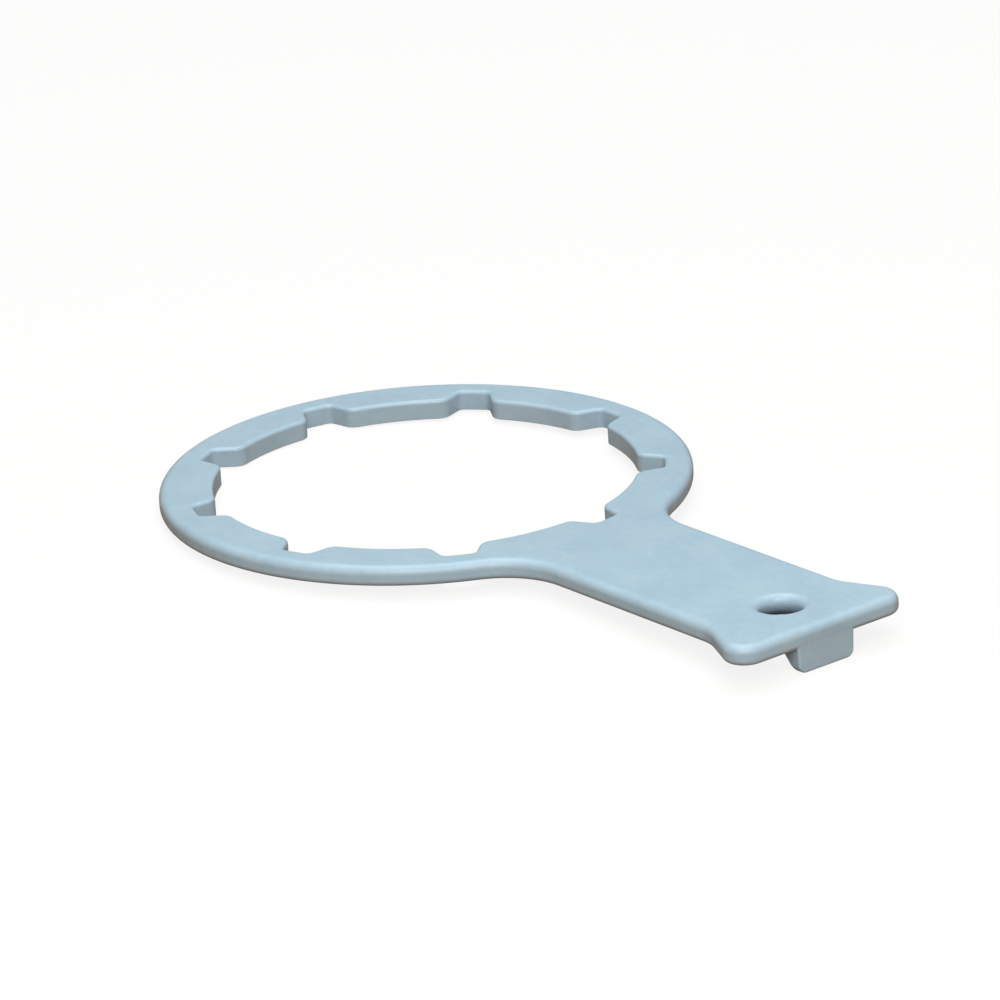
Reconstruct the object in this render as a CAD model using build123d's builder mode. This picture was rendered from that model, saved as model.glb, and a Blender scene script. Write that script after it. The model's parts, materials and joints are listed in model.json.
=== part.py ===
from build123d import *

import os
from math import sqrt

# Filter-housing wrench, moulded in one piece. A flat ring grips the ribbed cap of a filter
# housing with the notches round its inside. A broad handle runs out from it to a fishtail end,
# with a hang hole and a wedge-shaped lug under the end.
# Millimetres, +Z up. The origin is the centre of the ring, halfway through the plate, and the
# handle runs along +X. The lug points down.

# Plate: the ring and the handle are one flat section with well-rounded outer edges
plate_thickness = 5.8
upper_edge_round = 2.6
lower_edge_round = 1.8

# Ring: lands that hug the cap, and the solid rim behind the notches
land_radius = 59.7
notch_depth = 7.4
rim_width = 7.9

# Notches for the ribs of the cap; the turn is the angle from the handle to the first notch
notch_count = 9
notch_turn = 9.3
notch_mouth_width = 14.0
notch_root_width = 8.5
land_corner_round = 4.0
notch_corner_round = 2.0
inner_edge_break = 0.8

# Handle: parallel sides that flare out to the fishtail end
handle_length = 94.2
handle_width = 46.8
neck_round = 21.5
flare_length = 20.3
flare_rise = 9.2
flare_round = 14.4
end_corner_round = 6.3

# Hang hole, with a soft upper rim
hang_hole_radius = 6.0
hang_hole_from_end = 18.2
hang_rim_round = 2.5

# Lug: flat and upright in front, with a sloping back
lug_width = 19.6
lug_height = 6.9
lug_root_depth = 8.3
lug_tip_depth = 3.0
lug_setback = 1.0
lug_side_draft = 3.0
lug_corner_round = 2.2
lug_edge_round = 0.6
lug_root_round = 0.8

# Places that follow from the sizes above
notch_root_radius = land_radius + notch_depth
ring_radius = notch_root_radius + rim_width
end_x = ring_radius + handle_length
flare_x = end_x - flare_length
side_y = handle_width / 2
end_y = side_y + flare_rise
hang_hole_x = end_x - hang_hole_from_end
underside_z = -plate_thickness / 2
lug_front_x = end_x - lug_setback
lug_tip_z = underside_z - lug_height

# The flanks of a notch run straight from its root to the lands, and the same way again inside them
notch_mouth_x = sqrt(land_radius**2 - (notch_mouth_width / 2) ** 2)
flank_run = notch_root_radius - notch_mouth_x
flank_spread = (notch_mouth_width - notch_root_width) / 2
notch_inner_x = notch_mouth_x - flank_run
notch_inner_y = notch_mouth_width / 2 + flank_spread

# The lug is drafted at its sides, and reaches up to the middle of the plate to join it
with BuildPart() as lug:
    with BuildSketch(Plane.XZ):
        with BuildLine():
            Polyline(
                (lug_front_x, 0),
                (lug_front_x, lug_tip_z),
                (lug_front_x - lug_tip_depth, lug_tip_z),
                (lug_front_x - lug_root_depth, underside_z),
                (lug_front_x - lug_root_depth, 0),
                close=True,
            )
        make_face()
    extrude(amount=lug_width / 2, both=True)
    draft(lug.faces().filter_by(Axis.Y), Plane.XY.offset(underside_z), -lug_side_draft)
    fillet(lug.edges().filter_by(Axis.X).group_by(Axis.Z)[0], lug_corner_round)
    fillet(lug.faces().sort_by(Axis.X)[-1].edges().sort_by(Axis.Z)[:-1], lug_edge_round)
    fillet(lug.faces().sort_by(Axis.Z)[0].edges().sort_by(Axis.X)[0], lug_edge_round)

with BuildPart() as wrench:
    # Outline of the ring and the handle, blended at the neck
    with BuildSketch() as outline:
        Circle(ring_radius)
        with BuildLine():
            Polyline(
                (0, side_y),
                (flare_x, side_y),
                (end_x, end_y),
                (end_x, -end_y),
                (flare_x, -side_y),
                (0, -side_y),
                close=True,
            )
        make_face()
        fillet(outline.vertices().group_by(Axis.X)[0], neck_round)
        fillet(outline.vertices().group_by(Axis.X)[-2], flare_round)
        fillet(outline.vertices().group_by(Axis.X)[-1], end_corner_round)
    extrude(amount=plate_thickness / 2, both=True)
    fillet(wrench.faces().sort_by(Axis.Z)[-1].edges(), upper_edge_round)
    fillet(wrench.faces().sort_by(Axis.Z)[0].edges(), lower_edge_round)

    # Notched opening; its plane is turned so that the first notch lies on the plane's own X axis
    with BuildSketch(Plane.XY.rotated((0, 0, notch_turn))) as opening:
        Circle(land_radius)
        with PolarLocations(0, notch_count):
            Polygon(
                (notch_inner_x, -notch_inner_y),
                (notch_root_radius, -notch_root_width / 2),
                (notch_root_radius, notch_root_width / 2),
                (notch_inner_x, notch_inner_y),
                align=None,
            )
        fillet(opening.vertices().sort_by_distance((0, 0))[: 2 * notch_count], land_corner_round)
        fillet(opening.vertices().sort_by_distance((0, 0))[-2 * notch_count :], notch_corner_round)
    extrude(amount=plate_thickness, both=True, mode=Mode.SUBTRACT)
    chamfer(wrench.faces().sort_by(Axis.Z)[-1].inner_wires()[0].edges(), inner_edge_break)

    # Hang hole
    with Locations((hang_hole_x, 0)):
        Hole(hang_hole_radius)
    fillet(wrench.edges(Select.LAST).sort_by(Axis.Z)[-1], hang_rim_round)

    # Lug under the end, blended all round where it leaves the underside
    add(lug.part)
    lug_root = wrench.edges(Select.LAST).filter_by_position(Axis.Z, underside_z, underside_z)
    fillet(lug_root.sort_by(Axis.X)[0], lug_root_round)

wrench.part.label = "wrench"
os.makedirs("parts", exist_ok=True)
export_step(wrench.part, "parts/wrench.step")
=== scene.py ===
"""Dresses the filter wrench for its picture.

The wrench is one moulding of light-blue plastic: a flat ring with nine notches round its inside,
a broad handle with a fishtail end, a hang hole, and a wedge-shaped lug under the end.
Sizes are in millimetres, and the finished mesh is brought to metres, the unit of the frame.
"""

import json
import logging
from dataclasses import dataclass
from enum import Enum
from math import atan2, copysign, cos, hypot, radians, sin, sqrt, tan, tau

import bmesh
import bpy
from bmesh.types import BMEdge, BMesh, BMVert
from bpy.types import Material, Mesh, Node, NodeSocket, Object
from mathutils import Matrix, Quaternion, Vector


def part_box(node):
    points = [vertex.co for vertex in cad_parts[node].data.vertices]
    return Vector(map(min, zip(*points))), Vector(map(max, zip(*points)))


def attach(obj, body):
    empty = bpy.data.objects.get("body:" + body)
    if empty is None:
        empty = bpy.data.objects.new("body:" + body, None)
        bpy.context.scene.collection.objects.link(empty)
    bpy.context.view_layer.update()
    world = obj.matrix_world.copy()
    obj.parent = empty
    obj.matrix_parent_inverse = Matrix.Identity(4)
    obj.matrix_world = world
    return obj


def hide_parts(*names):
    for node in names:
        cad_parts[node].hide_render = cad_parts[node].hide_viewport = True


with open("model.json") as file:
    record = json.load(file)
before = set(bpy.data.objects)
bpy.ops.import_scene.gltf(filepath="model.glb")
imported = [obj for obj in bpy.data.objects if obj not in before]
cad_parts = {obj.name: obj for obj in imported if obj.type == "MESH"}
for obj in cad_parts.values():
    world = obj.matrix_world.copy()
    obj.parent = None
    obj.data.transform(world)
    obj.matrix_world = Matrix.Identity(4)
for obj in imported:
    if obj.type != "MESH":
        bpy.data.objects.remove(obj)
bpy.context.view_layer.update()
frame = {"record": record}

METRES = 0.001
UP = Vector((0, 0, 1))
ORIGIN = Vector((0, 0, 0))
SAME_PLACE = 0.003
LAMP_AIM = Vector((0.04, 0, 0))

Colour = tuple[float, float, float, float]
WHITE: Colour = (1, 1, 1, 1)

log = logging.getLogger("filter_wrench")


class Side(Enum):
    """The two sides of the handle's middle, by the sign of y there."""

    LEFT = 1
    RIGHT = -1


class Face(Enum):
    """The two flat faces of the plate, by the sign of z there."""

    UPPER = 1
    LOWER = -1


def edges_of(geometry: list) -> list[BMEdge]:
    """Picks the edges out of an operator's mixed result."""
    return [item for item in geometry if isinstance(item, BMEdge)]


def verts_of(geometry: list) -> list[BMVert]:
    """Picks the vertices out of an operator's mixed result."""
    return [item for item in geometry if isinstance(item, BMVert)]


def ends_of(edges: list[BMEdge]) -> list[BMVert]:
    """Gives the vertices at the ends of some edges, each once and in a steady order."""
    return list(dict.fromkeys(vert for edge in edges for vert in edge.verts))


def mirror_across_handle(bm: BMesh) -> None:
    """Mirrors all of a mesh across the upright plane along X, and joins the halves.

    Args:
        bm: The mesh, all on one side of the plane.
    """
    half = bm.verts[:] + bm.edges[:] + bm.faces[:]
    other = bmesh.ops.duplicate(bm, geom=half)["geom"]
    bmesh.ops.scale(bm, vec=(1, -1, 1), verts=verts_of(other))
    bmesh.ops.remove_doubles(bm, verts=bm.verts, dist=SAME_PLACE)


def as_object(name: str, bm: BMesh) -> Object:
    """Makes an object of a mesh under construction, and frees the latter.

    Args:
        name: The object's name.
        bm: The mesh.

    Returns:
        The object, at the origin.
    """
    mesh = bpy.data.meshes.new(name)
    bm.to_mesh(mesh)
    bm.free()
    piece = bpy.data.objects.new(name, mesh)
    bpy.context.scene.collection.objects.link(piece)
    bpy.context.view_layer.update()
    return piece


@dataclass(frozen=True)
class Turn:
    """A leg of a route that goes round a centre.

    Attributes:
        centre: The point that the leg goes round.
        angle: How far it goes, in radians, counter-clockwise from above.
        steps: The number of facets along it.
    """

    centre: Vector
    angle: float
    steps: int

    def carry(self, bm: BMesh, section: list[BMEdge]) -> list[BMEdge]:
        """Takes a section along this leg and leaves a wall behind it.

        Args:
            bm: The mesh that grows.
            section: The edges of the section where the leg starts.

        Returns:
            The edges of the section where the leg ends.
        """
        swept = bmesh.ops.spin(
            bm,
            geom=ends_of(section) + section,
            cent=self.centre,
            axis=UP,
            angle=self.angle,
            steps=self.steps,
        )
        return edges_of(swept["geom_last"])


@dataclass(frozen=True)
class Run:
    """A straight leg of a route.

    Attributes:
        step: The way from its start to its end.
    """

    step: Vector

    def carry(self, bm: BMesh, section: list[BMEdge]) -> list[BMEdge]:
        """Takes a section along this leg and leaves a wall behind it.

        Args:
            bm: The mesh that grows.
            section: The edges of the section where the leg starts.

        Returns:
            The edges of the section where the leg ends.
        """
        drawn = bmesh.ops.extrude_edge_only(bm, edges=section)["geom"]
        moved = set(verts_of(drawn))
        bmesh.ops.translate(bm, verts=list(moved), vec=self.step)
        return [edge for edge in edges_of(drawn) if moved.issuperset(edge.verts)]


@dataclass(frozen=True)
class RoundCorner:
    """A corner of an outline that an arc takes round.

    Attributes:
        place: Where the corner would be if it were sharp.
        heading_in: The direction of the outline before it, of length 1.
        heading_out: The direction of the outline after it, of length 1.
        radius: The arc's radius.
        steps: The number of facets along the arc.
    """

    place: Vector
    heading_in: Vector
    heading_out: Vector
    radius: float
    steps: int

    @property
    def angle(self) -> float:
        """How far the outline turns here, in radians, counter-clockwise from above."""
        cross = self.heading_in.cross(self.heading_out).z
        return atan2(cross, self.heading_in.dot(self.heading_out))

    @property
    def reach(self) -> float:
        """How far from the sharp corner the arc starts and ends."""
        return self.radius * tan(abs(self.angle) / 2)

    @property
    def start(self) -> Vector:
        """Where the arc starts."""
        return self.place - self.heading_in * self.reach

    @property
    def end(self) -> Vector:
        """Where the arc ends."""
        return self.place + self.heading_out * self.reach

    @property
    def turn(self) -> Turn:
        """The arc as a leg of a route."""
        inward = UP.cross(self.heading_in) * copysign(self.radius, self.angle)
        return Turn(self.start + inward, self.angle, self.steps)


@dataclass(frozen=True)
class WallSection:
    """The upright section of an edge of the plate: a wall, with a round above and below it.

    Attributes:
        top: The height of the plate's upper face.
        underside: The height of its lower face.
        upper_round: The radius of the round between the wall and the upper face.
        lower_round: The radius of the round between the wall and the lower face.
        upper_steps: The number of facets across the upper round.
        lower_steps: The number of facets across the lower round.
    """

    top: float
    underside: float
    upper_round: float
    lower_round: float
    upper_steps: int = 14
    lower_steps: int = 10

    def draw(self, bm: BMesh, foot: Vector, outward: Vector) -> list[BMEdge]:
        """Draws the section as a string of edges, from the lower face to the upper one.

        Args:
            bm: The mesh that it is drawn in.
            foot: A point of the wall, at any height.
            outward: The direction out of the material there, of length 1.

        Returns:
            The section's edges.
        """
        along = outward.cross(UP)
        first = Vector((foot.x, foot.y, self.underside)) - outward * self.lower_round
        tip = [bmesh.ops.create_vert(bm, co=first)["vert"][0]]
        lower_centre = first + UP * self.lower_round
        upper_centre = Vector((foot.x, foot.y, self.top - self.upper_round))
        upper_centre -= outward * self.upper_round
        rise = self.top - self.underside - self.upper_round - self.lower_round
        tip = self._bend(bm, tip, lower_centre, along, self.lower_steps)
        tip = verts_of(bmesh.ops.extrude_vert_indiv(bm, verts=tip)["verts"])
        bmesh.ops.translate(bm, verts=tip, vec=UP * rise)
        self._bend(bm, tip, upper_centre, along, self.upper_steps)
        return self._string(bm, first)

    @staticmethod
    def _bend(bm: BMesh, tip: list[BMVert], centre: Vector, along: Vector, steps: int) -> list[BMVert]:
        """Takes the end of the string through a quarter turn.

        Args:
            bm: The mesh that it is drawn in.
            tip: The vertex at the end of the string.
            centre: The middle of the quarter turn.
            along: The axis of the turn.
            steps: The number of facets.

        Returns:
            The vertex at the new end.
        """
        bent = bmesh.ops.spin(bm, geom=tip, cent=centre, axis=along, angle=radians(90), steps=steps)
        return verts_of(bent["geom_last"])

    @staticmethod
    def _string(bm: BMesh, first: Vector) -> list[BMEdge]:
        """Gathers the edges that hang together from a point.

        Args:
            bm: The mesh that holds them.
            first: Where the string starts.

        Returns:
            The string's edges.
        """
        vert = min(bm.verts, key=lambda candidate: (candidate.co - first).length)
        string: list[BMEdge] = []
        while True:
            onward = [edge for edge in vert.link_edges if edge not in string]
            if not onward:
                return string
            string.append(onward[0])
            vert = onward[0].other_vert(vert)


@dataclass
class Outline:
    """The outer edge of the ring and the handle.

    Attributes:
        ring_radius: The outer radius of the ring.
        end_x: Where the handle ends.
        handle_width: The width of the handle between its parallel sides.
        neck_round: The radius of the blend between the ring and the handle.
        flare_length: The length of the flare, along the handle.
        flare_rise: How far the flare goes out on each side.
        flare_round: The radius where the flare starts.
        end_corner_round: The radius of the two end corners.
        ring_steps: The number of facets along half of the ring.
        neck_steps: The number of facets along the blend at the neck.
        flare_steps: The number of facets along the round where the flare starts.
        corner_steps: The number of facets along an end corner.
    """

    ring_radius: float
    end_x: float
    handle_width: float = 46.8
    neck_round: float = 21.5
    flare_length: float = 20.3
    flare_rise: float = 9.2
    flare_round: float = 14.4
    end_corner_round: float = 6.3
    ring_steps: int = 150
    neck_steps: int = 30
    flare_steps: int = 12
    corner_steps: int = 36

    def build(self, bm: BMesh, section: WallSection) -> None:
        """Makes the wall of one half and mirrors it across the handle's middle.

        Args:
            bm: The mesh that gets the wall.
            section: The wall's section.
        """
        side = self.handle_width / 2
        neck_y = side + self.neck_round
        neck_x = sqrt((self.ring_radius + self.neck_round) ** 2 - neck_y**2)
        neck_turn = atan2(neck_x, neck_y)

        slope = Vector((self.flare_length, self.flare_rise, 0)).normalized()
        ahead = Vector((1, 0, 0))
        flare_x = self.end_x - self.flare_length
        bend = Vector((flare_x, side, 0))
        flare = RoundCorner(bend, ahead, slope, self.flare_round, self.flare_steps)
        tip = Vector((self.end_x, side + self.flare_rise, 0))
        across = Vector((0, -1, 0))
        corner = RoundCorner(tip, slope, across, self.end_corner_round, self.corner_steps)

        route = (
            Turn(ORIGIN, -(radians(90) + neck_turn), self.ring_steps),
            Turn(Vector((neck_x, neck_y, 0)), neck_turn, self.neck_steps),
            Run(flare.start - Vector((neck_x, side, 0))),
            flare.turn,
            Run(corner.start - flare.end),
            corner.turn,
            Run(across * corner.end.y),
        )
        far_side = Vector((-self.ring_radius, 0, 0))
        edges = section.draw(bm, far_side, Vector((-1, 0, 0)))
        for leg in route:
            edges = leg.carry(bm, edges)
        mirror_across_handle(bm)


@dataclass
class NotchedOpening:
    """The opening of the ring, with a notch for each rib of the cap.

    Attributes:
        land_radius: The radius of the lands between the notches.
        notch_depth: How much deeper the notches go.
        count: The number of notches.
        first_turn: The angle from the handle to the first notch, in degrees.
        mouth_width: The width of a notch where it meets the lands.
        root_width: Its width at the bottom.
        land_corner_round: The radius where a land turns into a notch.
        root_corner_round: The radius of a notch's two inner corners.
        root_corner_steps: The number of facets along such a corner.
        land_corner_steps: The number of facets where a land turns into a notch.
        land_steps: The number of facets along half a land.
    """

    land_radius: float
    notch_depth: float = 7.4
    count: int = 9
    first_turn: float = 9.3
    mouth_width: float = 14.0
    root_width: float = 8.5
    land_corner_round: float = 4.0
    root_corner_round: float = 2.0
    root_corner_steps: int = 10
    land_corner_steps: int = 12
    land_steps: int = 12

    def build(self, bm: BMesh, section: WallSection) -> None:
        """Makes the wall of half a notch and half a land, mirrors it and repeats it all round.

        Args:
            bm: The mesh that gets the wall.
            section: The wall's section.
        """
        root_x = self.land_radius + self.notch_depth
        mouth_y = self.mouth_width / 2
        mouth = Vector((sqrt(self.land_radius**2 - mouth_y**2), mouth_y, 0))
        root = Vector((root_x, self.root_width / 2, 0))
        flank = (mouth - root).normalized()
        sideways = Vector((0, 1, 0))
        root_corner = RoundCorner(root, sideways, flank, self.root_corner_round, self.root_corner_steps)

        land_centre, land_start = self._land_corner(root, flank)
        land_end = land_centre * (self.land_radius / land_centre.length)
        turn_back = (land_start - land_centre).angle(land_end - land_centre)
        land_angle = atan2(land_end.y, land_end.x)
        half_pitch = tau / self.count / 2

        route = (
            Run(sideways * root_corner.start.y),
            root_corner.turn,
            Run(land_start - root_corner.end),
            Turn(land_centre, -turn_back, self.land_corner_steps),
            Turn(ORIGIN, half_pitch - land_angle, self.land_steps),
        )
        edges = section.draw(bm, Vector((root_x, 0, 0)), Vector((-1, 0, 0)))
        for leg in route:
            edges = leg.carry(bm, edges)
        mirror_across_handle(bm)
        pitch = bm.verts[:] + bm.edges[:] + bm.faces[:]
        bmesh.ops.spin(
            bm,
            geom=pitch,
            cent=ORIGIN,
            axis=UP,
            angle=2 * half_pitch * (self.count - 1),
            steps=self.count - 1,
            use_duplicate=True,
        )
        turned = Matrix.Rotation(radians(self.first_turn), 3, "Z")
        bmesh.ops.rotate(bm, cent=ORIGIN, matrix=turned, verts=bm.verts)
        bmesh.ops.remove_doubles(bm, verts=bm.verts, dist=SAME_PLACE)

    def _land_corner(self, root: Vector, flank: Vector) -> tuple[Vector, Vector]:
        """Finds the round that touches a flank and the lands.

        Args:
            root: A point of the flank's line.
            flank: The flank's direction towards the lands, of length 1.

        Returns:
            The centre of the round, and where it leaves the flank.
        """
        behind = Vector((flank.y, -flank.x, 0))
        offset = root + behind * self.land_corner_round
        reach = self.land_radius + self.land_corner_round
        middle = -offset.dot(flank)
        run = middle - sqrt(middle**2 - offset.length_squared + reach**2)
        return offset + flank * run, root + flank * run


@dataclass
class HangHole:
    """The round hole that the wrench hangs by.

    Attributes:
        centre: The middle of the hole.
        radius: Its radius.
        steps: The number of facets round it.
    """

    centre: Vector
    radius: float
    steps: int = 96

    def build(self, bm: BMesh, section: WallSection) -> None:
        """Makes the wall of the hole.

        Args:
            bm: The mesh that gets the wall.
            section: The wall's section.
        """
        foot = self.centre + Vector((self.radius, 0, 0))
        edges = section.draw(bm, foot, Vector((-1, 0, 0)))
        bmesh.ops.spin(
            bm,
            geom=ends_of(edges) + edges,
            cent=self.centre,
            axis=UP,
            angle=tau,
            steps=self.steps,
            use_merge=True,
        )


@dataclass(frozen=True)
class LugLevel:
    """The outline of the lug at one height, a rectangle with rounded corners.

    Attributes:
        height: The height.
        back: Where its back is, along the handle.
        front: Where its front is.
        half_width: How far it goes to each side, at its front.
        flare: How much wider it is at its back, on each side.
    """

    height: float
    back: float
    front: float
    half_width: float
    flare: float

    @property
    def middle(self) -> float:
        """The middle between its back and its front."""
        return (self.back + self.front) / 2


@dataclass
class Lug:
    """The wedge under the handle's end: upright in front, with a sloping back.

    Attributes:
        end_x: Where the handle ends.
        underside: The height of the plate's lower face.
        tip: The height of the lug's own lower face.
        plate_round: The radius of the plate's lower edge, which the lug's front blends into.
        width: Its width where it leaves the plate.
        root_depth: Its depth there, along the handle.
        tip_depth: Its depth at the tip.
        setback: How far its front stands behind the handle's end.
        side_draft: The slope of its sides, in degrees.
        corner_round: The radius of the rounds along the two sides of the tip.
        edge_round: The radius of the rounds at the front and back of the tip.
        upright_round: The radius of its four upright edges.
        root_round: The radius of the blend round its root, which fades out towards its front.
        front_blend: The radius of the blend between its front and the plate's edge.
        sunk: How far it reaches into the plate.
        bite: How far the blends go past the plate's surface, so that they join it.
        finest: The smallest step between two heights.
        bend_steps: The number of levels across each round and blend.
        upright_steps: The number of facets along each upright round.
    """

    end_x: float
    underside: float
    tip: float
    plate_round: float
    width: float = 19.6
    root_depth: float = 8.3
    tip_depth: float = 2.7
    setback: float = 0.03
    side_draft: float = 3.0
    corner_round: float = 2.2
    edge_round: float = 0.6
    upright_round: float = 0.7
    root_round: float = 0.8
    front_blend: float = 3.0
    sunk: float = 2.2
    bite: float = 0.02
    finest: float = 0.02
    bend_steps: int = 10
    upright_steps: int = 8

    @property
    def front_x(self) -> float:
        """Where the lug's upright front is."""
        return self.end_x - self.setback

    @property
    def root_start(self) -> float:
        """The height where the blend of the sides and the back starts."""
        return self.underside + self.bite - self.root_round

    @property
    def front_drop(self) -> float:
        """How far the centre of the front's blend is below that of the plate's edge."""
        apart = self.front_blend + self.plate_round
        return sqrt((apart - self.bite) ** 2 - (apart - self.setback) ** 2)

    @property
    def front_start(self) -> float:
        """The height where the blend of the front starts."""
        return self.underside + self.plate_round - self.front_drop

    @property
    def front_end(self) -> float:
        """The height where the blend of the front touches the plate's edge."""
        share = self.front_blend / (self.front_blend + self.plate_round - self.bite)
        return self.front_start + self.front_drop * share

    def build(self) -> BMesh:
        """Draws the lug up from its tip, level by level, until it is well inside the plate.

        Returns:
            Its mesh, closed all round.
        """
        bm = bmesh.new()
        levels = [self._level(height) for height in self._heights()]
        edges = self._tip_face(bm, levels[0])
        for below, above in zip(levels, levels[1:]):
            drawn = bmesh.ops.extrude_edge_only(bm, edges=edges)["geom"]
            moved = set(verts_of(drawn))
            self._move_corners(bm, moved, below, above)
            edges = [edge for edge in edges_of(drawn) if moved.issuperset(edge.verts)]
        bmesh.ops.contextual_create(bm, geom=edges)
        bmesh.ops.recalc_face_normals(bm, faces=bm.faces)
        return bm

    def _heights(self) -> list[float]:
        """Picks the heights of the levels, close together where a round bends.

        Returns:
            The heights, from the tip up.
        """
        shares = [step / self.bend_steps for step in range(self.bend_steps + 1)]
        bends = [radians(90) * share for share in shares]
        heights = {self.tip + self.corner_round * (1 - cos(bend)) for bend in bends}
        heights |= {self.tip + self.edge_round * (1 - cos(bend)) for bend in bends}
        heights |= {self.root_start + self.root_round * sin(bend) for bend in bends}
        rise = self.front_end - self.front_start
        heights |= {self.front_start + rise * share for share in shares}
        heights.add(self.underside + self.sunk)
        kept: list[float] = []
        for height in sorted(heights):
            if not kept or height - kept[-1] > self.finest:
                kept.append(height)
        return kept

    def _level(self, height: float) -> LugLevel:
        """Works out the outline at a height.

        Args:
            height: The height.

        Returns:
            The outline there.
        """
        below_root = max(self.underside - height, 0.0)
        slope = (self.root_depth - self.tip_depth) / (self.underside - self.tip)
        edge = self._inset(height, self.edge_round)
        flare = self._flare(height, self.root_start, self.root_round)
        blend = self._flare(min(height, self.front_end), self.front_start, self.front_blend)
        narrower = below_root * tan(radians(self.side_draft)) + self._inset(height, self.corner_round)
        return LugLevel(
            height=height,
            back=self.front_x - self.root_depth + below_root * slope + edge - flare,
            front=self.front_x - edge + blend,
            half_width=self.width / 2 - narrower,
            flare=flare,
        )

    def _inset(self, height: float, radius: float) -> float:
        """Gives how far a round at the tip stands in at a height."""
        left = max(radius - (height - self.tip), 0.0)
        return radius - sqrt(radius**2 - left**2)

    @staticmethod
    def _flare(height: float, start: float, radius: float) -> float:
        """Gives how far a blend that starts at one height stands out at another."""
        risen = min(max(height - start, 0.0), radius)
        return radius - sqrt(radius**2 - risen**2)

    def _tip_face(self, bm: BMesh, level: LugLevel) -> list[BMEdge]:
        """Makes the tip's flat face, with rounded corners.

        Args:
            bm: The mesh that gets it.
            level: The outline there.

        Returns:
            The edges round it.
        """
        size = Vector((level.front - level.back, 2 * level.half_width, 1.0))
        placed = Matrix.Translation((level.middle, 0, level.height)) @ Matrix.Diagonal((*size, 1))
        corners = bmesh.ops.create_grid(bm, x_segments=1, y_segments=1, size=0.5, matrix=placed)["verts"]
        bmesh.ops.bevel(
            bm,
            geom=corners,
            offset=self.upright_round,
            offset_type="OFFSET",
            segments=self.upright_steps,
            profile=0.5,
            affect="VERTICES",
            material=-1,
            clamp_overlap=False,
        )
        return bm.edges[:]

    @staticmethod
    def _move_corners(bm: BMesh, moved: set[BMVert], below: LugLevel, above: LugLevel) -> None:
        """Takes the four rounded corners of an outline to their places at the next level.

        Args:
            bm: The mesh that holds them.
            moved: The outline's vertices.
            below: The outline that they leave.
            above: The outline that they reach.
        """
        rise = above.height - below.height
        wider_front = above.half_width - below.half_width
        wider_back = wider_front + above.flare - below.flare
        for ahead, shift, wider in (
            (True, above.front - below.front, wider_front),
            (False, above.back - below.back, wider_back),
        ):
            for side in Side:
                corner = [
                    vert
                    for vert in moved
                    if (vert.co.x > below.middle) == ahead and vert.co.y * side.value > 0
                ]
                bmesh.ops.translate(bm, verts=corner, vec=(shift, side.value * wider, rise))


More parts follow.
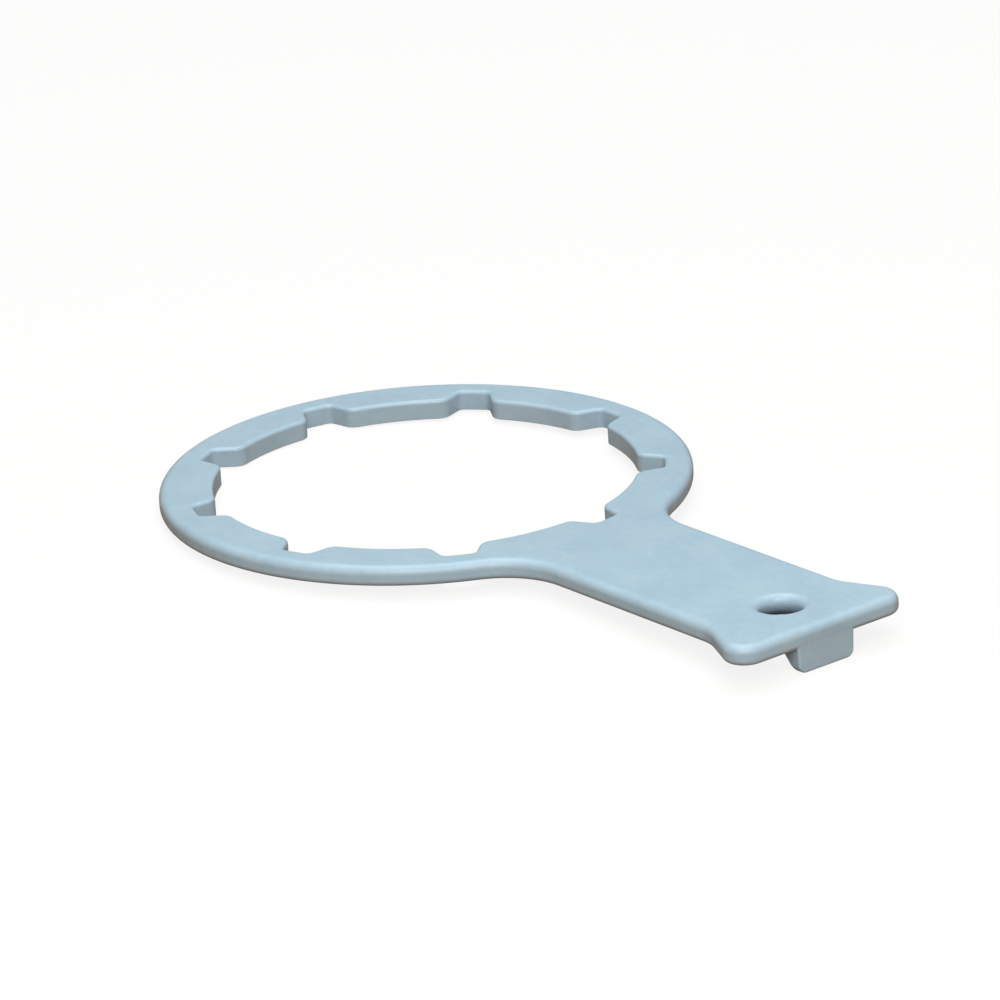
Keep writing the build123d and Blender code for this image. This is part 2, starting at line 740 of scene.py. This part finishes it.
@dataclass
class Wrench:
    """The whole moulding.

    Attributes:
        top: The height of the plate's upper face.
        tip: The height of the lug's lower face.
        ring_radius: The outer radius of the ring.
        end_x: Where the handle ends.
        land_radius: The radius of the lands.
        hole_centre: The middle of the hang hole.
        hole_radius: Its radius.
        upper_round: The radius of the plate's outer edge above.
        lower_round: The radius of the plate's outer edge below.
        inner_break: The radius of the upper edge round the opening.
        fine_break: The radius of the lower edges inside, a trace of the mould.
        hole_round: The radius of the hang hole's upper rim.
        hole_lower_round: The radius of its lower rim.
        crease: The angle, in degrees, from which an edge is shaded as a crease.
    """

    top: float
    tip: float
    ring_radius: float
    end_x: float
    land_radius: float
    hole_centre: Vector
    hole_radius: float
    upper_round: float = 2.6
    lower_round: float = 1.8
    inner_break: float = 1.2
    fine_break: float = 0.25
    hole_round: float = 2.5
    hole_lower_round: float = 1.2
    crease: float = 35.0

    @classmethod
    def from_frame(cls) -> "Wrench":
        """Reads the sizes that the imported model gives.

        Returns:
            The wrench, with those sizes.
        """
        low, high = (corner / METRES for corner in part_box("wrench"))
        mounts = {mount["name"]: mount for mount in frame["record"]["mounts"]}
        grip, hole = mounts["ring_grip"], mounts["hang_hole"]
        place = Vector(hole["pos_m"]) / METRES
        return cls(
            top=high.z,
            tip=low.z,
            ring_radius=high.y,
            end_x=high.x,
            land_radius=grip["dims"]["r_mm"],
            hole_centre=Vector((place.x, place.y, 0)),
            hole_radius=hole["dims"]["r_mm"],
        )

    @property
    def lug(self) -> Lug:
        """The lug under the handle's end."""
        return Lug(self.end_x, -self.top, self.tip, self.lower_round)

    @property
    def far_rest(self) -> Vector:
        """Where the far side of the ring rests on a floor."""
        return Vector((self.lower_round - self.ring_radius, 0, -self.top))

    @property
    def lug_rest(self) -> Vector:
        """Where the lug's tip rests on it."""
        lug = self.lug
        return Vector((lug.front_x - lug.tip_depth + lug.edge_round, 0, self.tip))

    def build(self) -> Object:
        """Makes the moulding as one closed mesh.

        Returns:
            Its object, at the origin.
        """
        plate = as_object("plate_blank", self._plate())
        lug = as_object("lug_blank", self.lug.build())
        union = plate.modifiers.new("join_lug", "BOOLEAN")
        union.operation = "UNION"
        union.solver = "EXACT"
        union.object = lug
        whole = bpy.data.meshes.new_from_object(plate.evaluated_get(bpy.context.evaluated_depsgraph_get()))
        for blank in (plate, lug):
            bpy.data.objects.remove(blank)
        return self._finish(whole)

    def _plate(self) -> BMesh:
        """Makes the plate: its walls, closed by a flat face above and below.

        Returns:
            The plate's mesh.
        """
        outer = WallSection(self.top, -self.top, self.upper_round, self.lower_round)
        inner = WallSection(
            self.top, -self.top, self.inner_break, self.fine_break, upper_steps=8, lower_steps=4
        )
        rim = WallSection(self.top, -self.top, self.hole_round, self.hole_lower_round)
        walls = (
            (Outline(self.ring_radius, self.end_x), outer),
            (NotchedOpening(self.land_radius), inner),
            (HangHole(self.hole_centre, self.hole_radius), rim),
        )
        plate = bmesh.new()
        for wall, section in walls:
            made = bmesh.new()
            wall.build(made, section)
            mesh = bpy.data.meshes.new("wall")
            made.to_mesh(mesh)
            made.free()
            plate.from_mesh(mesh)
            bpy.data.meshes.remove(mesh)
        for face in Face:
            height = self.top * face.value
            rim_edges = [
                edge
                for edge in plate.edges
                if edge.is_boundary and all(abs(vert.co.z - height) < SAME_PLACE for vert in edge.verts)
            ]
            for vert in ends_of(rim_edges):
                vert.co.z = height
            bmesh.ops.triangle_fill(plate, use_beauty=True, edges=rim_edges, normal=UP * face.value)
        bmesh.ops.recalc_face_normals(plate, faces=plate.faces)
        return plate

    def _finish(self, mesh: Mesh) -> Object:
        """Cleans the joined mesh, brings it to metres and smooths its shading.

        Args:
            mesh: The mesh of the plate and the lug, in millimetres.

        Returns:
            Its object.
        """
        bm = bmesh.new()
        bm.from_mesh(mesh)
        bpy.data.meshes.remove(mesh)
        bmesh.ops.remove_doubles(bm, verts=bm.verts, dist=SAME_PLACE)
        bmesh.ops.dissolve_degenerate(bm, edges=bm.edges, dist=SAME_PLACE)
        bmesh.ops.recalc_face_normals(bm, faces=bm.faces)
        for face in bm.faces:
            face.smooth = True
        for edge in bm.edges:
            edge.smooth = edge.is_manifold and edge.calc_face_angle() < radians(self.crease)
        bmesh.ops.scale(bm, vec=(METRES,) * 3, verts=bm.verts)
        piece = as_object("filter_wrench", bm)
        weighted = piece.modifiers.new("even_shading", "WEIGHTED_NORMAL")
        weighted.mode = "FACE_AREA"
        weighted.keep_sharp = True
        return piece


@dataclass(frozen=True)
class Noise:
    """The measures of a pattern of cloudy noise.

    Attributes:
        size: The width of its largest clouds, in metres.
        detail: How many finer layers it has.
        roughness: How strong they are.
    """

    size: float
    detail: float
    roughness: float


@dataclass(frozen=True)
class Relief:
    """How a pattern stands out from a surface.

    Attributes:
        strength: How strongly it shows, of 1.
        depth: Its depth, in metres.
    """

    strength: float
    depth: float


@dataclass(frozen=True)
class Stretch:
    """A range of values, over which something comes in.

    Attributes:
        low: The lowest that counts.
        high: The highest that counts.
    """

    low: float
    high: float


class ShaderGraph:
    """A material's node tree while it is put together.

    Attributes:
        material: The material that it belongs to.
    """

    def __init__(self, name: str) -> None:
        """Starts an empty tree.

        Args:
            name: The material's name.
        """
        self.material = bpy.data.materials.new(name)
        self.material.use_nodes = True
        self._tree = self.material.node_tree
        self._tree.nodes.clear()

    def add(self, kind: str, **settings: object) -> Node:
        """Adds a node.

        Args:
            kind: Its type.
            **settings: Values of its own properties.

        Returns:
            The node.
        """
        node = self._tree.nodes.new(kind)
        for key, value in settings.items():
            setattr(node, key, value)
        return node

    def link(self, source: NodeSocket, target: NodeSocket) -> None:
        """Joins an output to an input."""
        self._tree.links.new(source, target)

    def close(self, shader: Node) -> None:
        """Leads a shader to the material's output."""
        self.link(shader.outputs[0], self.add("ShaderNodeOutputMaterial").inputs["Surface"])

    def noise(self, place: NodeSocket, pattern: Noise) -> NodeSocket:
        """Makes cloudy noise.

        Args:
            place: The place on the object.
            pattern: Its measures.

        Returns:
            The noise, about 0.5 on average.
        """
        node = self.add("ShaderNodeTexNoise")
        node.inputs["Scale"].default_value = 1 / pattern.size
        node.inputs["Detail"].default_value = pattern.detail
        node.inputs["Roughness"].default_value = pattern.roughness
        self.link(place, node.inputs["Vector"])
        return node.outputs["Fac"]

    def blend(self, first: NodeSocket, second: NodeSocket, share: float = 0.5) -> NodeSocket:
        """Mixes two patterns.

        Args:
            first: The first pattern.
            second: The second.
            share: The second's share, of 1.

        Returns:
            The mixture.
        """
        node = self.add("ShaderNodeMix", data_type="FLOAT")
        node.inputs[0].default_value = share
        self.link(first, node.inputs[2])
        self.link(second, node.inputs[3])
        return node.outputs[0]

    def spread(self, value: NodeSocket, old: Stretch, low: float = 0.0, high: float = 1.0) -> NodeSocket:
        """Spreads one range of values over another, and stops at its ends.

        Args:
            value: The values.
            old: The range of them that counts.
            low: What its lowest becomes.
            high: What its highest becomes.

        Returns:
            The new values.
        """
        node = self.add("ShaderNodeMapRange")
        ends = {"From Min": old.low, "From Max": old.high, "To Min": low, "To Max": high}
        for key, number in ends.items():
            node.inputs[key].default_value = number
        self.link(value, node.inputs["Value"])
        return node.outputs["Result"]

    def multiply(self, first: NodeSocket, second: NodeSocket) -> NodeSocket:
        """Multiplies two patterns.

        Args:
            first: The first pattern.
            second: The second.

        Returns:
            Their product, kept from 0 to 1.
        """
        node = self.add("ShaderNodeMath", operation="MULTIPLY", use_clamp=True)
        self.link(first, node.inputs[0])
        self.link(second, node.inputs[1])
        return node.outputs[0]

    def mix_colour(self, share: NodeSocket, first: NodeSocket | Colour, second: Colour) -> NodeSocket:
        """Mixes two colours by a pattern.

        Args:
            share: The second colour's share.
            first: The first colour, or a pattern of colour.
            second: The second colour.

        Returns:
            The mixture.
        """
        node = self.add("ShaderNodeMix", data_type="RGBA")
        self.link(share, node.inputs[0])
        if isinstance(first, NodeSocket):
            self.link(first, node.inputs[6])
        else:
            node.inputs[6].default_value = first
        node.inputs[7].default_value = second
        return node.outputs[2]

    def height_of(self, place: NodeSocket) -> NodeSocket:
        """Gives the height of a place, or how far a direction points up.

        Args:
            place: The place, or the direction.

        Returns:
            Its upward part.
        """
        parts = self.add("ShaderNodeSeparateXYZ")
        self.link(place, parts.inputs[0])
        return parts.outputs["Z"]

    def distance_to_upright(self, place: NodeSocket, axis: Vector) -> NodeSocket:
        """Measures how far a place is from an upright line.

        Args:
            place: The place.
            axis: The line's foot, at height 0.

        Returns:
            The distance.
        """
        level = self.add("ShaderNodeVectorMath", operation="MULTIPLY")
        level.inputs[1].default_value = (1, 1, 0)
        self.link(place, level.inputs[0])
        away = self.add("ShaderNodeVectorMath", operation="DISTANCE")
        away.inputs[1].default_value = axis
        self.link(level.outputs["Vector"], away.inputs[0])
        return away.outputs["Value"]

    def bump(self, height: NodeSocket, relief: Relief, under: NodeSocket | None = None) -> NodeSocket:
        """Makes fine relief.

        Args:
            height: The pattern of its height.
            relief: How it stands out.
            under: Relief that it is laid over.

        Returns:
            The surface's direction with the relief.
        """
        node = self.add("ShaderNodeBump")
        node.inputs["Strength"].default_value = relief.strength
        node.inputs["Distance"].default_value = relief.depth
        self.link(height, node.inputs["Height"])
        if under is not None:
            self.link(under, node.inputs["Normal"])
        return node.outputs["Normal"]


@dataclass(frozen=True)
class MouldedPlastic:
    """Light-blue plastic with a soft gloss, as it comes out of the mould.

    Attributes:
        hole_axis: The middle of the hang hole, in metres.
        pale: The paler blue of the pigment's clouds.
        deep: The deeper blue between them.
        rubbed_and_highlight: The paler blue of the upward-facing rounded edges: partly whitened by use,
            partly a painted highlight.
        painted_shade: Painted shade, the dark colour laid on the lower wall of the hang hole.
        painted_shade_reach: Over which distances from the hole's axis the painted shade ends, in metres.
        painted_shade_height: Between which heights it goes from full to none.
        painted_shade_cover: How much of the plastic it hides where it is full, of 1.
        clouds: The clouds of the pigment.
        flecks: The small flecks in them.
        grain: The grain of the surface.
        waves: The surface's faint waviness.
        wear_and_highlight_noise: The pattern that breaks up that paler blue on the edges.
        fleck_share: How much the flecks count in the colour, of 1.
        shade_range: The values of the colour's pattern between which it turns pale.
        wear_and_highlight_range: The values of that pattern between which the paler blue comes in.
        least_wear_and_highlight: How much of the paler blue an edge gets where it gets least, of 1.
        rise_range: How far a surface points up where the paler blue comes in, from 0 for upright to 1.
        level_range: The same where it goes out again, towards the flat.
        smooth: The roughness at the low end of its pattern. The noise ends well above that, and so
            does the roughness, because the denoiser leaves specks on a surface below about 0.28.
        dull: The roughness at the high end.
        refraction: The plastic's index of refraction.
        wave_relief: How the waves stand out.
        fleck_relief: How the flecks do.
        grain_relief: How the grain does.
    """

    hole_axis: Vector
    pale: Colour = (0.455, 0.660, 0.805, 1)
    deep: Colour = (0.400, 0.600, 0.750, 1)
    # Partly whitening by use, partly a painted highlight on the upward-facing rounds.
    rubbed_and_highlight: Colour = (0.470, 0.675, 0.820, 1)
    # Painted shade low in the hang hole.
    painted_shade: Colour = (0.030, 0.036, 0.060, 1)
    painted_shade_reach: Stretch = Stretch(0.0061, 0.0066)
    painted_shade_height: Stretch = Stretch(-0.0018, 0.0006)
    painted_shade_cover: float = 0.92
    clouds: Noise = Noise(0.016, 3.0, 0.55)
    flecks: Noise = Noise(0.0024, 2.0, 0.6)
    grain: Noise = Noise(0.0005, 1.0, 0.5)
    waves: Noise = Noise(0.0272, 0.0, 0.5)
    wear_and_highlight_noise: Noise = Noise(0.0096, 4.0, 0.6)
    fleck_share: float = 0.4
    shade_range: Stretch = Stretch(0.38, 0.62)
    wear_and_highlight_range: Stretch = Stretch(0.42, 0.62)
    least_wear_and_highlight: float = 0.15
    rise_range: Stretch = Stretch(0.25, 0.75)
    level_range: Stretch = Stretch(0.80, 0.99)
    smooth: float = 0.22
    dull: float = 0.44
    refraction: float = 1.49
    wave_relief: Relief = Relief(0.12, 0.0003)
    fleck_relief: Relief = Relief(0.25, 0.00004)
    grain_relief: Relief = Relief(0.25, 0.00001)

    def make(self, name: str) -> Material:
        """Makes the material.

        Args:
            name: Its name.

        Returns:
            The material.
        """
        graph = ShaderGraph(name)
        place = graph.add("ShaderNodeTexCoord").outputs["Object"]
        clouds = graph.noise(place, self.clouds)
        flecks = graph.noise(place, self.flecks)
        shader = graph.add("ShaderNodeBsdfPrincipled")
        shader.inputs["IOR"].default_value = self.refraction

        mottle = graph.blend(clouds, flecks, self.fleck_share)
        colour = graph.mix_colour(graph.spread(mottle, self.shade_range), self.deep, self.pale)
        # Paler blue on the upward-facing rounds: partly whitening by use, partly a painted highlight.
        colour = graph.mix_colour(self._rub_and_highlight_pattern(graph, place), colour, self.rubbed_and_highlight)
        # Painted shade: darkens the lower wall of the hang hole.
        colour = graph.mix_colour(self._painted_shade_pattern(graph, place), colour, self.painted_shade)
        graph.link(colour, shader.inputs["Base Color"])

        dullness = graph.spread(graph.blend(flecks, clouds), Stretch(0, 1), self.smooth, self.dull)
        graph.link(dullness, shader.inputs["Roughness"])

        surface = graph.bump(graph.noise(place, self.waves), self.wave_relief)
        surface = graph.bump(flecks, self.fleck_relief, surface)
        surface = graph.bump(graph.noise(place, self.grain), self.grain_relief, surface)
        graph.link(surface, shader.inputs["Normal"])
        graph.close(shader)
        return graph.material

    def _rub_and_highlight_pattern(self, graph: ShaderGraph, place: NodeSocket) -> NodeSocket:
        """Makes the broken pattern of paler blue on the upward-facing rounded edges, partly whitening by
        use and partly a painted highlight.

        Args:
            graph: The graph that gets it.
            place: The place on the object.

        Returns:
            Its strength, from 0 to 1.
        """
        broken = graph.spread(graph.noise(place, self.wear_and_highlight_noise), self.wear_and_highlight_range, self.least_wear_and_highlight, 1.0)
        direction = graph.add("ShaderNodeTexCoord").outputs["Normal"]
        height = graph.height_of(direction)
        rising = graph.spread(height, self.rise_range)
        level = graph.spread(height, self.level_range, 1.0, 0.0)
        return graph.multiply(graph.multiply(rising, level), broken)

    def _painted_shade_pattern(self, graph: ShaderGraph, place: NodeSocket) -> NodeSocket:
        """Makes the pattern of the painted shade that darkens the lower wall of the hang hole.

        Args:
            graph: The graph that gets it.
            place: The place on the object.

        Returns:
            Its strength, from 0 to 1.
        """
        away = graph.distance_to_upright(place, self.hole_axis)
        inside = graph.spread(away, self.painted_shade_reach, 1.0, 0.0)
        deep = graph.spread(graph.height_of(place), self.painted_shade_height, self.painted_shade_cover, 0.0)
        return graph.multiply(inside, deep)


@dataclass(frozen=True)
class PaleFloor:
    """A plain white floor that keeps a soft shadow.

    Attributes:
        bounce: The colour of the light that it gives back to the object.
        glow: How much of what the camera sees is plain white, of 1.
    """

    bounce: Colour = (0.26, 0.17, 0.12, 1)
    glow: float = 0.86

    def make(self, name: str) -> Material:
        """Makes the material.

        Args:
            name: Its name.

        Returns:
            The material.
        """
        graph = ShaderGraph(name)
        seen = graph.add("ShaderNodeLightPath").outputs["Is Camera Ray"]
        paint = graph.mix_colour(seen, self.bounce, WHITE)
        matt = graph.add("ShaderNodeBsdfDiffuse")
        graph.link(paint, matt.inputs["Color"])
        white = graph.add("ShaderNodeEmission")
        share = graph.spread(seen, Stretch(0, 1), 0.0, self.glow)
        floor = graph.add("ShaderNodeMixShader")
        graph.link(share, floor.inputs["Fac"])
        graph.link(matt.outputs["BSDF"], floor.inputs[1])
        graph.link(white.outputs["Emission"], floor.inputs[2])
        graph.close(floor)
        return graph.material


@dataclass(frozen=True)
class Softbox:
    """A soft round lamp.

    Attributes:
        name: Its name.
        place: Where it stands, in metres.
        size: Its width, in metres.
        power: Its power, in watts.
        colour: Its colour.
    """

    name: str
    place: Vector
    size: float
    power: float
    colour: tuple[float, float, float]

    def build(self, aim: Vector) -> None:
        """Makes the lamp and turns it to a point.

        Args:
            aim: The point, in metres.
        """
        light = bpy.data.lights.new(self.name, "AREA")
        light.shape = "DISK"
        light.size = self.size
        light.energy = self.power
        light.color = self.colour
        lamp = bpy.data.objects.new(self.name, light)
        lamp.location = self.place
        lamp.rotation_euler = (self.place - aim).to_track_quat("Z", "Y").to_euler()
        bpy.context.scene.collection.objects.link(lamp)


@dataclass
class Studio:
    """The floor, the lamps and the room's plain light.

    Attributes:
        far_rest: Where the ring rests on the floor, in millimetres.
        lug_rest: Where the lug rests on it.
        floor_radius: The floor's radius, in metres.
        floor_steps: The number of its sides.
        room_light: The strength of the light from all round.
        room_colour: Its colour.
    """

    far_rest: Vector
    lug_rest: Vector
    floor_radius: float = 2.5
    floor_steps: int = 96
    room_light: float = 0.32
    room_colour: Colour = (1.0, 0.75, 0.59, 1)

    def build(self) -> None:
        """Makes all of it."""
        self._floor()
        self._room()
        lamps = (
            Softbox(
                "overhead", Vector((-0.05, 0.10, 1.40)), size=1.3, power=11.2, colour=(0.80, 0.94, 1.0)
            ),
            Softbox(
                "camera_side", Vector((0.86, -0.60, 0.84)), size=1.1, power=11.1, colour=(1.0, 0.95, 0.91)
            ),
        )
        for lamp in lamps:
            lamp.build(LAMP_AIM)

    def _floor(self) -> None:
        """Lays the floor under the two places where the wrench touches it."""
        bm = bmesh.new()
        bmesh.ops.create_circle(bm, cap_ends=True, segments=self.floor_steps, radius=self.floor_radius)
        span = self.lug_rest - self.far_rest
        tilt = Matrix.Rotation(atan2(-span.z, hypot(span.x, span.y)), 4, "Y")
        under = Matrix.Translation(self.far_rest * METRES)
        bmesh.ops.transform(bm, matrix=under @ tilt, verts=bm.verts)
        floor = as_object("floor", bm)
        floor.data.materials.append(PaleFloor().make("pale_floor"))

    def _room(self) -> None:
        """Lights the scene from all round, and shows white behind it."""
        world = bpy.data.worlds.new("room")
        world.use_nodes = True
        bpy.context.scene.world = world
        nodes, links = world.node_tree.nodes, world.node_tree.links
        nodes.clear()
        ray = nodes.new("ShaderNodeLightPath")
        soft = nodes.new("ShaderNodeBackground")
        soft.inputs["Color"].default_value = self.room_colour
        soft.inputs["Strength"].default_value = self.room_light
        white = nodes.new("ShaderNodeBackground")
        white.inputs["Color"].default_value = WHITE
        seen = nodes.new("ShaderNodeMixShader")
        links.new(ray.outputs["Is Camera Ray"], seen.inputs["Fac"])
        links.new(soft.outputs[0], seen.inputs[1])
        links.new(white.outputs[0], seen.inputs[2])
        links.new(seen.outputs[0], nodes.new("ShaderNodeOutputWorld").inputs["Surface"])


@dataclass(frozen=True)
class PhotoCamera:
    """The camera where the photograph was taken from.

    Attributes:
        aim_x: Where the middle of the picture meets the plate's plane, in millimetres.
        aim_y: The same across the handle.
        azimuth: The camera's direction from there, counter-clockwise from +X, in degrees.
        elevation: Its height above the plate's plane, in degrees.
        roll: How far it is turned about its own axis, in degrees.
        distance: How far it is from the aim, in millimetres.
        focal_length: The lens, in millimetres, on a picture as wide as the sensor.
        sensor_width: The sensor's width, in millimetres.
        far_clip: How far it sees, in metres.
    """

    aim_x: float = 27.33
    aim_y: float = 4.50
    azimuth: float = -37.933
    elevation: float = 20.258
    roll: float = -3.535
    distance: float = 2049.0
    focal_length: float = 265.34
    sensor_width: float = 36.0
    far_clip: float = 20.0

    def build(self) -> Object:
        """Makes the camera and gives it to the scene.

        Returns:
            The camera.
        """
        lens = bpy.data.cameras.new("photo_camera")
        lens.lens = self.focal_length
        lens.sensor_width = self.sensor_width
        lens.sensor_fit = "HORIZONTAL"
        lens.clip_end = self.far_clip
        turn, rise = radians(self.azimuth), radians(self.elevation)
        back = Vector((cos(rise) * cos(turn), cos(rise) * sin(turn), sin(rise)))
        camera = bpy.data.objects.new("photo_camera", lens)
        camera.location = (Vector((self.aim_x, self.aim_y, 0)) + back * self.distance) * METRES
        level = back.to_track_quat("Z", "Y")
        camera.rotation_euler = (level @ Quaternion((0, 0, 1), radians(self.roll))).to_euler()
        bpy.context.scene.collection.objects.link(camera)
        bpy.context.scene.camera = camera
        return camera


def main() -> None:
    """Builds the wrench, the studio and the camera."""
    logging.basicConfig(level=logging.INFO, format="%(name)s: %(message)s")
    bpy.context.scene.view_settings.view_transform = "Standard"

    wrench = Wrench.from_frame()
    piece = wrench.build()
    piece.data.materials.append(MouldedPlastic(wrench.hole_centre * METRES).make("light_blue_plastic"))
    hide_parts("wrench")
    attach(piece, "root")
    log.info("%s: %d faces", piece.name, len(piece.data.polygons))

    Studio(wrench.far_rest, wrench.lug_rest).build()
    camera = PhotoCamera().build()
    log.info("%s stands %.2f m away", camera.name, camera.location.length)


if __name__ == "__main__":
    main()
